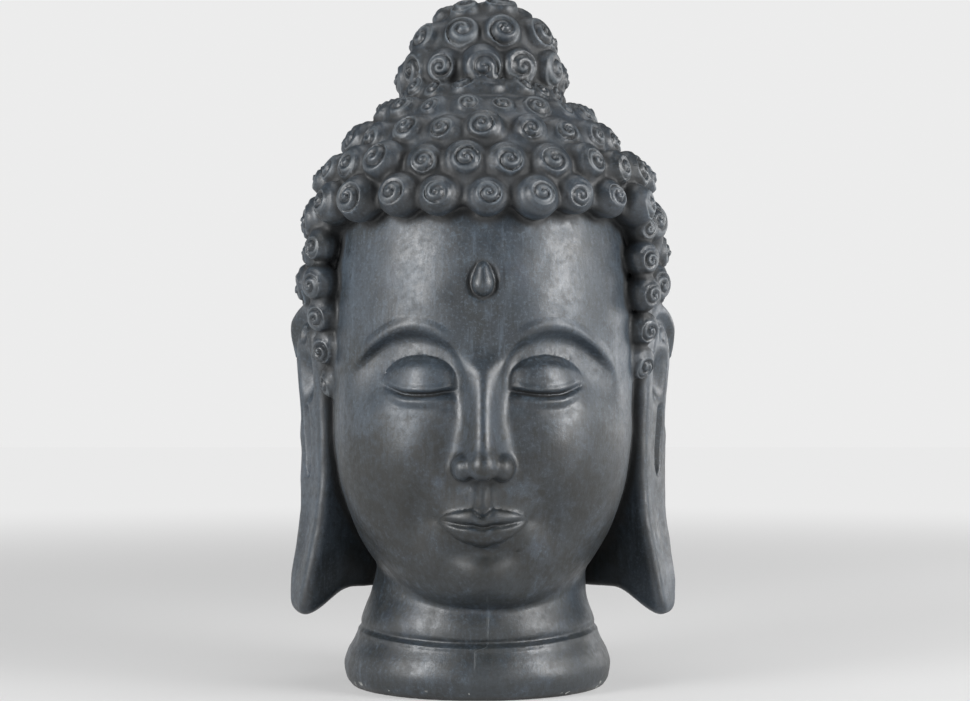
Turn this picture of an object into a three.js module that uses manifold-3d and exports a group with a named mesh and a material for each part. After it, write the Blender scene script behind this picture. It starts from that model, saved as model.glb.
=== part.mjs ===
// Head of a Buddha, one hollow casting in stone mix with a painted grey skin,
// on its own collared foot. Millimetres, +Z up, the face looks along -Y.
// The origin is the middle of the flat underside.
//
// The form is one smooth body: skull, face, long pierced ears, neck and foot
// are blended distance functions, and the snail curls are knobs stamped on the
// hair in rings. The body is turned into a mesh, thinned to flat facets, and
// the underside is cut flat.
import * as THREE from "three";
import Module from "manifold-3d";

// ---------------------------------------------------------------- sizes
const SKULL = { c: [0, 12, 330], r: [122, 129, 138], n: 2.08 }; // bare forehead and crown
const HAIR = { c: [0, 12, 330], r: [125, 131, 140], n: 2.1 }; // hair cap before its thickness
const HAIR_THICK = 12;
const NAPE = { c: [0, 30, 225], r: [112, 98, 128], n: 2.2 }; // hair down the back of the head
const KNOT = { c: [0, 22, 490], r: [57, 57, 55], n: 2.2 }; // raised knot on the crown
const FACE = { c: [0, -8, 214], r: [119, 113, 158], n: 2.15 }; // egg of the face
const JAW = { c: [0, -54, 106], r: [56, 50, 44] };
const AXIS_Y = 12; // middle of the hair rings
const NECK_Y = 8; // middle of the neck and foot

// levels of the face: thirds from hairline to brow, to nose base, to chin
const Z_HAIRLINE = 375;
const Z_MARK = 318; // drop on the forehead
const Z_EYE = 243;
const Z_LID = 237.5; // closed slit
const Z_NOSE_TIP = 180;
const Z_NOSE_BASE = 168;
const Z_MOUTH = 135;
const Z_CHIN = 93;
const EYE_X = 47.5; // from the middle of the face
const EYE_HALF = 28.5;
const MOUTH_HALF = 34;

// neck and foot: radius at heights
const NECK_Z = [-6, 0, 6, 16, 26, 36, 44, 54, 64, 74, 90, 140, 230];
const NECK_R = [96.5, 101.4, 105.6, 107.2, 104.8, 99.6, 96.2, 92.8, 89.2, 86.6, 84.5, 83, 78];
const CREASE_Z = 41; // line between the collar and the foot
const NECK_TOP = 190;

// ear: plan corners of the slab at heights (front edge A, rear edge B,
// root of the inner face D, root of the back face E)
const EAR_Z = [50, 62, 80, 105, 140, 178, 220, 260, 290, 312];
const EAR_AX = [145, 144, 141, 136, 130, 128, 129, 130, 132, 134];
const EAR_AY = [-24, -24, -23, -20, -16, -14, -14, -14, -12, -8];
const EAR_BX = [157, 158, 159, 156, 152.5, 153.5, 157, 161, 162.5, 156];
const EAR_BY = [14, 16, 20, 24, 30, 34, 37, 38, 36, 30];
const EAR_DX = [70, 70, 70, 76, 86, 98, 104, 104, 100, 100];
const EAR_DY = [44, 44, 44, 38, 28, 18, 10, 4, -6, -8];
const EAR_EX = [70, 70, 70, 76, 90, 104, 110, 112, 112, 110];
const EAR_EY = [64, 64, 66, 64, 62, 60, 60, 60, 60, 60];
const EAR_TOP = 309;
const EAR_BOTTOM = 55;

// curls
const KNOB_R = 16.9; // radius of one knob
const KNOB_H = 15.4;
const CROWN_RINGS = [[472, 16, 0.25, 0, 0.88], [453.5, 19, 0.5, -6, 0.9], [433, 21, 0, -4, 0.97], [408, 24, 0.5, 2.5, 1], [383, 24, 0, 2.5, 1]];
const KNOT_RINGS = [[493, 12, 0, 0], [519, 10, 0.45, -3.5]];
const RING = 24; // curls round the head below the hairline
const RING_STEP = 26.5; // drop from one ring to the next
const RING_SHIFT = 1.5; // degrees

// mesh
const CELL = 2.6;
const FACETS = 9800;
const LOW = [-168, -184, -14];
const HIGH = [168, 180, 572];

// ---------------------------------------------------------------- helpers
const { abs, min, max, sqrt, exp, sin, cos, atan2, pow, floor, PI, hypot } = Math;
const clip = (v, a, b) => (v < a ? a : v > b ? b : v);
const ease = (a, b, x) => { const t = clip((x - a) / (b - a), 0, 1); return t * t * (3 - 2 * t); };
const bump = (u) => { const t = max(1 - u * u, 0); return t * t; };
const bell = (u) => exp(-u * u);
const join = (a, b, k) => { const h = max(k - abs(a - b), 0) / k; return min(a, b) - h * h * k * 0.25; };
const meet = (a, b, k) => { const h = max(k - abs(a - b), 0) / k; return max(a, b) + h * h * k * 0.25; };

// smooth curve through stations, flat beyond its ends
function curve(xs, ys) {
  const n = xs.length, d = [], m = new Array(n).fill(0);
  for (let i = 0; i < n - 1; i++) d.push((ys[i + 1] - ys[i]) / (xs[i + 1] - xs[i]));
  m[0] = d[0]; m[n - 1] = d[n - 2];
  for (let i = 1; i < n - 1; i++) m[i] = d[i - 1] * d[i] <= 0 ? 0 : (2 * d[i - 1] * d[i]) / (d[i - 1] + d[i]);
  return (x) => {
    x = clip(x, xs[0], xs[n - 1]);
    let i = 0;
    while (i < n - 2 && x > xs[i + 1]) i++;
    const h = xs[i + 1] - xs[i], t = (x - xs[i]) / h, t2 = t * t, t3 = t2 * t;
    return (2 * t3 - 3 * t2 + 1) * ys[i] + (t3 - 2 * t2 + t) * h * m[i] + (3 * t2 - 2 * t3) * ys[i + 1] + (t3 - t2) * h * m[i + 1];
  };
}

function ball(x, y, z, c, r) {
  const px = (x - c[0]) / r[0], py = (y - c[1]) / r[1], pz = (z - c[2]) / r[2];
  const k = sqrt(px * px + py * py + pz * pz);
  return (k * (k - 1)) / max(hypot(px / r[0], py / r[1], pz / r[2]), 1e-6);
}

// ball with a squarer section
function squircle(x, y, z, b) {
  const n = b.n, px = abs(x - b.c[0]) / b.r[0], py = abs(y - b.c[1]) / b.r[1], pz = abs(z - b.c[2]) / b.r[2];
  const s = pow(px, n) + pow(py, n) + pow(pz, n) + 1e-9, k = pow(s, 1 / n);
  const g = hypot(pow(px, n - 1) / b.r[0], pow(py, n - 1) / b.r[1], pow(pz, n - 1) / b.r[2]) * pow(s, 1 / n - 1);
  return (k - 1) / max(g, 1e-6);
}

// ---------------------------------------------------------------- face
const mask = (x, y, z) => join(join(squircle(x, y, z, SKULL), squircle(x, y, z, FACE), 36), ball(x, y, z, JAW.c, JAW.r), 30);

const browLine = (X) => 281 - 0.0125 * (X - 54) ** 2 - 0.055 * max(26 - X, 0) ** 2;
const noseWidth = curve([166, 180, 200, 228, 244, 256, 272], [20.5, 19.8, 17.2, 15.4, 16.2, 20.5, 34]);

// relief of the features over the mask, in the face's front view
function relief(x, z) {
  const X = abs(x);
  let D = 5 * bump((X - 58) / 46) * bump((z - 190) / 56); // cheeks
  D += 7 * bump(X / 32) * bump((z - Z_CHIN) / 26);
  D += 9 * bump(X / 56) * bump((z - 142) / 44); // round of the mouth
  D += 3 * bump(X / 90) * bump((z - 318) / 60); // forehead
  D -= 3 * bell((X - 46) / 10) * bell((z - 140) / 24);
  // brow and socket
  const zb = browLine(X), below = zb - z;
  D -= 12.5 * ease(-1.5, 10, below) * (1 - ease(16, 56, below)) * ease(4, 30, X) * (1 - ease(70, 108, X));
  D += 2.4 * bump((below + 3.5) / 8) * ease(14, 34, X) * (1 - ease(84, 106, X));
  D += 2.2 * bump((z - zb - 16) / 30) * bump((X - 44) / 52);
  // lidded eye
  const ex = (X - EYE_X) / EYE_HALF, ez = (z - Z_EYE) / 19;
  D = meet(D, -10.5 + 14 * sqrt(max(1 - ex * ex - ez * ez, 0)) - (1.5 * max(X - EYE_X, 0)) / 28, 4.5);
  const t = (X - EYE_X) / 29;
  const slit = Z_LID - 5 * (1 - t * t) + 2.8 * ease(0.35, 1, t) - 1.6 * ease(-0.55, -1, t);
  const on = abs(t) < 1 ? 1 - pow(abs(t), 6) : 0, d = z - slit;
  D += on * (2.5 * bell((d - 3.4) / 2.6) - 3.9 * bell((d + 0.2) / 1.7) + 2.4 * bell((d + 5.6) / 3.4) - 0.9 * bell((d + 12) / 4));
  D -= 1.6 * bell((t + 1.04) / 0.1) * bell(d / 2.6);
  D -= 1.5 * bell((z - (258.5 - 9 * t * t)) / 1.9) * (1 - ease(0.62, 0.95, abs(t)));
  // nose: a rounded ridge that runs up into the brows
  const s = clip((262 - z) / (262 - Z_NOSE_TIP), 0, 1);
  const ridge = (17.5 + 23.5 * pow(s, 1.12)) * exp(-pow(X / noseWidth(z), 2.2)) * (1 - ease(248, 276, z)) * ease(166, 178, z);
  D = meet(D, ridge - 12, 12);
  // lips
  const w = clip(1 - (X / MOUTH_HALF) ** 2, 0, 1);
  const zm = Z_MOUTH - 1.8 * bump(X / 9) + 3.2 * ease(12, 35, X);
  const zu = zm + 13 * pow(w, 0.8) - 3.4 * bump(X / 8) * w;
  const zl = zm - 15.5 * pow(w, 0.75);
  if (X < MOUTH_HALF) {
    if (z >= zm) {
      const u = clip((z - zm) / max(zu - zm, 0.6), 0, 1.02);
      D += 6.6 * sqrt(clip(1 - ((u - 0.3) / 0.72) ** 2, 0, 1)) * pow(w, 0.6);
    } else {
      const u = clip((zm - z) / max(zm - zl, 0.6), 0, 1);
      D += 6.93 * sqrt(clip(1 - (1.5 * u - 0.5) ** 2, 0, 1)) * pow(w, 0.6) * (1 - 0.14 * bell(X / 5) * ease(0, 0.4, u));
    }
  }
  D += 0.6 * bell((z - zu - 0.9) / 1.6) * w;
  D -= 3.8 * bell((z - zm) / 2.2) * clip(1 - pow(X / 37, 4), 0, 1);
  D -= 2 * bell((X - 36.5) / 5.6) * bell((z - zm) / 6.5);
  D -= 4.2 * bump(X / 38) * bell((z - 112.5) / 7);
  const lip = ease(147, 152, z) * (1 - ease(160, 168, z));
  return D + lip * (0.8 * bell((X - 6.4) / 2.5) - 1.4 * bell(X / 3.6));
}

// first surface met from the front at a height on the middle line
function frontAt(z, f) {
  let a = -260, b = 0;
  for (let i = 0; i < 40; i++) { const m = (a + b) / 2; if (f(0, m, z) > 0) a = m; else b = m; }
  return (a + b) / 2;
}
const Y_TIP = frontAt(182, (x, y, z) => mask(x, y, z) - relief(x, z));
const Y_MARK = frontAt(Z_MARK, mask);

// ---------------------------------------------------------------- neck and foot
const neckR = curve(NECK_Z, NECK_R);
function neck(x, y, z) {
  const r = hypot(x + 4.4 * (1 - ease(60, 112, z)), y - NECK_Y) + 1e-6, fr = -(y - NECK_Y) / r, side = 1 - fr * fr;
  const zc = CREASE_Z + 5 * side, cr = 0.35 + 0.65 * (1 - side);
  const R = neckR(z) + cr * (1.5 * bell((z - zc + 2.2) / 1.5) - 2.8 * bell((z - zc - 1.6) / 2.1) + 2.2 * bump((z - 58) / 15));
  return meet((r - R) * 0.97, z - NECK_TOP, 40);
}

// ---------------------------------------------------------------- ears
const ear4 = [EAR_AX, EAR_AY, EAR_BX, EAR_BY, EAR_DX, EAR_DY, EAR_EX, EAR_EY].map((v) => curve(EAR_Z, v));
function edge(X, y, px, py, qx, qy) {
  let tx = qx - px, ty = qy - py;
  const L = hypot(tx, ty);
  tx /= L; ty /= L;
  return [(X - px) * ty - (y - py) * tx, (X - px) * tx + (y - py) * ty, L];
}
// rolled rim, hollow shell of the ear and the long slit in the lobe
function earCut(u, z, W) {
  const s = u / W;
  const q = hypot((u - 0.48 * W) / (0.5 * W), max(z - 262, 0) / 45);
  const e = z > 262 ? (1 - q) * 0.5 * W : min(W - u, u + 6);
  const rear = z > 262 ? 1 : ease(0.35, 0.6, s);
  const groove = 4.5 * bell((e - 9.5) / 3.6) * ease(196, 226, z) * max(rear, ease(262, 275, z));
  const shell = 9 * bump((u - 0.46 * W) / 13) * bump((z - 246) / 27);
  const fossa = 4 * bump((u - 0.5 * W) / 8) * bump((z - 282) / 12);
  const open = clip((z - 163) / 12, 0, 1);
  const slit = 7 * bump((u - 0.56 * W) / (1 + 6 * open)) * ease(163, 172, z) * (1 - ease(214, 228, z));
  return max(groove, shell, slit, fossa) + 2 * bump((u - 0.5 * W) / 16) * bump((z - 120) / 50);
}
function ear(x, y, z) {
  const X = abs(x), [ax, ay, bx, by, dx, dy, ex, ey] = ear4.map((f) => f(z));
  const [o, u, W] = edge(X, y, ax, ay, bx, by);
  let f = meet(o + earCut(u, z, W), edge(X, y, dx, dy, ax, ay)[0], 11);
  f = meet(f, edge(X, y, bx, by, ex, ey)[0] + 5 * bump((z - 230) / 90), 9);
  const top = EAR_TOP - 30 * pow(clip(abs(u / W - 0.45) / 0.62, 0, 1.5), 2.2);
  f = meet(f, (z - top) * 0.85, 9);
  const bot = EAR_BOTTOM + 20 * (1 - ease(106, 144, X)) + 30 * ease(42, 84, y) + 9 * pow(clip(abs(y + 3) / 22, 0, 1.3), 3) * ease(112, 142, X);
  return meet(f, (bot - z) * 0.9, 9);
}

// ---------------------------------------------------------------- bare head
function bare(x, y, z) {
  const X = abs(x);
  let w = clip((20 - y) / 40, 0, 1);
  w = w * w * (3 - 2 * w);
  let f = mask(x, y, z) - (w > 0 ? relief(x, z) * w : 0);
  const tip = ball(x, y, z, [0, Y_TIP + 9.5, 180], [11, 13.5, 11.5]);
  const wing = ball(X, y, z, [14.6, Y_TIP + 21.5, 178], [9, 15.5, 10.4]);
  f = join(f, join(tip, wing, 6), 5);
  f = meet(f, -ball(X, y, z, [8.6, Y_TIP + 13.5, 168.6], [3.7, 5.6, 3.2]), 2);
  const drop = join(ball(x, y, z, [0, Y_MARK - 2, 315.5], [8.6, 8.6, 9.6]), ball(x, y, z, [0, Y_MARK - 0.5, 325.5], [5.4, 7, 6.8]), 5);
  if (y < 0) f += 2.2 * bell((sqrt(X * X + (z - Z_MARK) ** 2 * 0.6) - 9.5) / 2.4);
  f = join(f, drop, 1);
  f = join(f, neck(x, y, z), 5);
  return z < 330 ? join(f, ear(x, y, z), 4) : f;
}

// ---------------------------------------------------------------- hair
function hairCap(x, y, z) {
  const s = join(squircle(x, y, z, HAIR) - HAIR_THICK, squircle(x, y, z, NAPE), 50);
  return join(s, squircle(x, y, z, KNOT), 8);
}
// lower edge of the hair round the head: hairline, side locks, nape
const hairEdge = curve([0, 0.85, 1.12, 1.28, 1.38, 1.95, 2.08, 3.2], [Z_HAIRLINE, 373, 362, 300, 250, 240, 149, 143]);
const hair = (x, y, z) => meet(hairCap(x, y, z), (hairEdge(atan2(abs(x), AXIS_Y - y)) - z) * 0.6, 5);

// steady small unevenness of hand-set curls
const rnd = (i, k) => { const v = sin(i * 12.9898 + k * 78.233 + 1.7) * 43758.5453; return v - floor(v); };

function curlSeats() {
  const D = PI / 180, seats = [];
  const put = (phi, z, size, cy = AXIS_Y, out = 0) => {
    const sx = sin(phi), sy = -cos(phi);
    let a = 0, b = 200;
    for (let i = 0; i < 26; i++) { const m = (a + b) / 2; if (hairCap(sx * m, cy + sy * m, z) < 0) a = m; else b = m; }
    seats.push([[sx * (a + out), cy + sy * (a + out), z], size]);
  };
  const fromFront = (deg) => abs(((deg + 180) % 360) - 180);
  for (const [z, n, ph, out, size] of CROWN_RINGS) {
    for (let i = 0; i < n; i++) {
      const deg = ((i + ph) / n) * 360 + RING_SHIFT, a = fromFront(deg);
      const dip = z < 400 ? 12 * ease(48, 82, a) : z < 420 ? 4 * ease(55, 90, a) : 0;
      put(deg * D, z - dip, size, AXIS_Y, out > 0 ? out * ease(30, 60, a) : out);
    }
  }
  for (let z = 347, k = 1; z > 132; z -= RING_STEP, k++) {
    for (let i = 0; i < RING; i++) {
      const deg = ((i + (k % 2 ? 0.5 : 0)) / RING) * 360 + RING_SHIFT, a = fromFront(deg);
      if (a < 76 || (z < 312 && a < 112)) continue; // the face, and the ears
      put(deg * D, z, z > 140 ? 1 : 0); // none below the edge of the hair
    }
  }
  // side locks before the ears
  for (const [z1, lock] of [[348, [-68, -69, -69.5, -71, -77]], [338, [65.5, 68.5, 71, 75]]]) {
    lock.forEach((deg, j) => put(deg * D, z1 - RING_STEP * j, j < 4 ? 0.86 : 0.8));
  }
  put(67 * D, 362, 0.8);
  for (const [z, n, ph, out] of KNOT_RINGS) {
    for (let i = 0; i < n; i++) put(((i + ph) / n) * 2 * PI, z, 0.97, KNOT.c[1], out);
  }
  const onTop = (x, y, size) => {
    let a = 480, b = 600;
    for (let i = 0; i < 26; i++) { const m = (a + b) / 2; if (hairCap(x, y, m) < 0) a = m; else b = m; }
    seats.push([[x, y, a], size]);
  };
  for (let i = 0; i < 6; i++) {
    const a = ((i + 0.5) / 6) * 2 * PI;
    onTop(27 * sin(a), KNOT.c[1] - 27 * cos(a), 0.88);
  }
  onTop(3, KNOT.c[1], 0.84);
  return seats.map(([p, size], i) => {
    const n = new THREE.Vector3(
      hairCap(p[0] + 1.5, p[1], p[2]) - hairCap(p[0] - 1.5, p[1], p[2]),
      hairCap(p[0], p[1] + 1.5, p[2]) - hairCap(p[0], p[1] - 1.5, p[2]),
      hairCap(p[0], p[1], p[2] + 1.5) - hairCap(p[0], p[1], p[2] - 1.5)).normalize();
    if (p[1] < -18 && abs(p[0]) > 100 && p[2] < 372) n.y -= 0.75; // side locks turn to the front
    if (p[2] < 535) n.z += p[2] > 420 && p[2] < 480 ? -0.3 : -0.1;
    n.add(new THREE.Vector3(rnd(i, 0) - 0.5, rnd(i, 1) - 0.5, rnd(i, 2) - 0.5).multiplyScalar(0.3)).normalize();
    const at = new THREE.Vector3(p[0] + (rnd(i, 4) - 0.5) * 4.4, p[1] + (rnd(i, 5) - 0.5) * 4.4, p[2] + (rnd(i, 6) - 0.5) * 4.4);
    return { at, n, size: size * (1 + 0.22 * (rnd(i, 3) - 0.5)) };
  }).filter((c) => c.size > 0);
}

// one knob, round with a slightly flattened end
function curl(dx, dy, dz, { n, size }) {
  const h = (dx * n.x + dy * n.y + dz * n.z) / size;
  const rho = sqrt(max((dx * dx + dy * dy + dz * dz) / (size * size) - h * h, 0));
  return (hypot(rho / KNOB_R, (h + 2) / KNOB_H) - 1) * KNOB_H * size;
}

// ---------------------------------------------------------------- field and mesh
function sample() {
  const n = [0, 1, 2].map((k) => Math.ceil((HIGH[k] - LOW[k]) / CELL / 8) * 8);
  const S = new Float32Array(n[0] * n[1] * n[2]);
  const at = (i, j, k) => (i * n[1] + j) * n[2] + k;
  const B = 8, reach = ((CELL * B * sqrt(3)) / 2) * 1.3 + 14;
  for (let i = 0; i < n[0]; i += B) for (let j = 0; j < n[1]; j += B) for (let k = 0; k < n[2]; k += B) {
    const x = LOW[0] + (i + 3.5) * CELL, y = LOW[1] + (j + 3.5) * CELL, z = LOW[2] + (k + 3.5) * CELL;
    const f = min(bare(x, y, z), hairCap(x, y, z)), far = abs(f) > reach;
    for (let a = i; a < i + B; a++) for (let b = j; b < j + B; b++) for (let c = k; c < k + B; c++) {
      const X = LOW[0] + a * CELL, Y = LOW[1] + b * CELL, Z = LOW[2] + c * CELL;
      S[at(a, b, c)] = far ? (f > 0 ? 50 : -50) : join(bare(X, Y, Z), hair(X, Y, Z), 3);
    }
  }
  for (const c of curlSeats()) {
    const rad = 21 * c.size, p = c.at.toArray();
    const lo = p.map((v, k) => max(floor((v - rad - LOW[k]) / CELL), 0));
    const hi = p.map((v, k) => min(Math.ceil((v + rad - LOW[k]) / CELL) + 1, n[k]));
    for (let a = lo[0]; a < hi[0]; a++) for (let b = lo[1]; b < hi[1]; b++) for (let d = lo[2]; d < hi[2]; d++) {
      const q = at(a, b, d);
      S[q] = join(S[q], curl(LOW[0] + a * CELL - p[0], LOW[1] + b * CELL - p[1], LOW[2] + d * CELL - p[2], c), 4);
    }
  }
  // end the foot a little below the underside, which is cut flat later
  for (let a = 0; a < n[0]; a++) for (let b = 0; b < n[1]; b++) for (let c = 0; c < n[2]; c++) {
    const q = at(a, b, c);
    S[q] = max(S[q], -7 - (LOW[2] + c * CELL));
  }
  return { S, n, at };
}

// fill any pocket that can't be reached from outside
function seal({ S, n, at }) {
  const open = new Uint8Array(S.length), queue = new Int32Array(S.length);
  let first = 0, last = 0;
  const visit = (i, j, k) => {
    if (i < 0 || j < 0 || k < 0 || i >= n[0] || j >= n[1] || k >= n[2]) return;
    const q = at(i, j, k);
    if (!open[q] && S[q] >= 0) { open[q] = 1; queue[last++] = q; }
  };
  visit(0, 0, 0);
  while (first < last) {
    const q = queue[first++], k = q % n[2], j = floor(q / n[2]) % n[1], i = floor(q / (n[2] * n[1]));
    visit(i - 1, j, k); visit(i + 1, j, k);
    visit(i, j - 1, k); visit(i, j + 1, k);
    visit(i, j, k - 1); visit(i, j, k + 1);
  }
  for (let q = 0; q < S.length; q++) if (S[q] >= 0 && !open[q]) S[q] = -0.5;
}

// no two filled corners may touch only across a cell face
function settle({ S, n, at }) {
  const axes = [[1, 0, 0], [0, 1, 0], [0, 0, 1]];
  for (let pass = 0, changed = 1; changed && pass < 30; pass++) {
    changed = 0;
    for (let i = 0; i < n[0] - 1; i++) for (let j = 0; j < n[1] - 1; j++) for (let k = 0; k < n[2] - 1; k++) {
      const o = at(i, j, k);
      for (let a = 0; a < 3; a++) {
        const u = axes[(a + 1) % 3], v = axes[(a + 2) % 3];
        const p = at(i + u[0], j + u[1], k + u[2]), q = at(i + v[0], j + v[1], k + v[2]);
        const r = at(i + u[0] + v[0], j + u[1] + v[1], k + u[2] + v[2]);
        const so = S[o] < 0, sp = S[p] < 0, sq = S[q] < 0, sr = S[r] < 0;
        if (so === sr && sp === sq && so !== sp) {
          const [e, g] = so ? [p, q] : [o, r];
          S[S[e] < S[g] ? e : g] = -0.05;
          changed++;
        }
      }
      const r = at(i + 1, j + 1, k + 1);
      let neg = 0;
      for (let c = 0; c < 8; c++) if (S[at(i + (c & 1), j + ((c >> 1) & 1), k + (c >> 2))] < 0) neg++;
      if (neg === 6 || neg === 2) {
        for (let c = 0; c < 4; c++) {
          const p = at(i + (c & 1), j + ((c >> 1) & 1), k), q = at(i + 1 - (c & 1), j + 1 - ((c >> 1) & 1), k + 1);
          if (neg === 2 && S[p] < 0 && S[q] < 0) { S[S[p] > S[q] ? p : q] = 0.05; changed++; }
          if (neg === 6 && S[p] >= 0 && S[q] >= 0) { S[S[p] < S[q] ? p : q] = -0.05; changed++; }
        }
      }
    }
  }
}

function surface({ S, n, at }) {
  const id = new Int32Array(S.length).fill(-1), pos = [], tris = [];
  const E = [];
  for (let c = 0; c < 8; c++) for (let a = 0; a < 3; a++) if (!(c & (1 << a))) E.push([c, c | (1 << a), a]);
  for (let i = 0; i < n[0] - 1; i++) for (let j = 0; j < n[1] - 1; j++) for (let k = 0; k < n[2] - 1; k++) {
    const v = [];
    let neg = 0;
    for (let c = 0; c < 8; c++) { v[c] = S[at(i + (c & 1), j + ((c >> 1) & 1), k + (c >> 2))]; if (v[c] < 0) neg++; }
    if (neg === 0 || neg === 8) continue;
    const p = [0, 0, 0];
    let m = 0;
    for (const [c, d, a] of E) {
      if ((v[c] < 0) === (v[d] < 0)) continue;
      const q = [c & 1, (c >> 1) & 1, c >> 2];
      q[a] = v[c] / (v[c] - v[d]);
      for (let w = 0; w < 3; w++) p[w] += q[w];
      m++;
    }
    id[at(i, j, k)] = pos.length / 3;
    pos.push(LOW[0] + (i + p[0] / m) * CELL, LOW[1] + (j + p[1] / m) * CELL, LOW[2] + (k + p[2] / m) * CELL);
  }
  const st = [n[1] * n[2], n[2], 1];
  for (let i = 1; i < n[0] - 1; i++) for (let j = 1; j < n[1] - 1; j++) for (let k = 1; k < n[2] - 1; k++) {
    const o = at(i, j, k), so = S[o] < 0;
    for (let a = 0; a < 3; a++) {
      if (so === S[o + st[a]] < 0) continue;
      const u = st[(a + 1) % 3], v = st[(a + 2) % 3];
      const q = [id[o], id[o - u], id[o - u - v], id[o - v]];
      if (!so) q.reverse();
      const far = (x, y) => hypot(pos[3 * x] - pos[3 * y], pos[3 * x + 1] - pos[3 * y + 1], pos[3 * x + 2] - pos[3 * y + 2]);
      if (far(q[0], q[2]) < far(q[1], q[3])) tris.push(q[0], q[1], q[2], q[0], q[2], q[3]);
      else tris.push(q[1], q[2], q[3], q[1], q[3], q[0]);
    }
  }
  return { pos: Float64Array.from(pos), tris: Int32Array.from(tris) };
}

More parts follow.
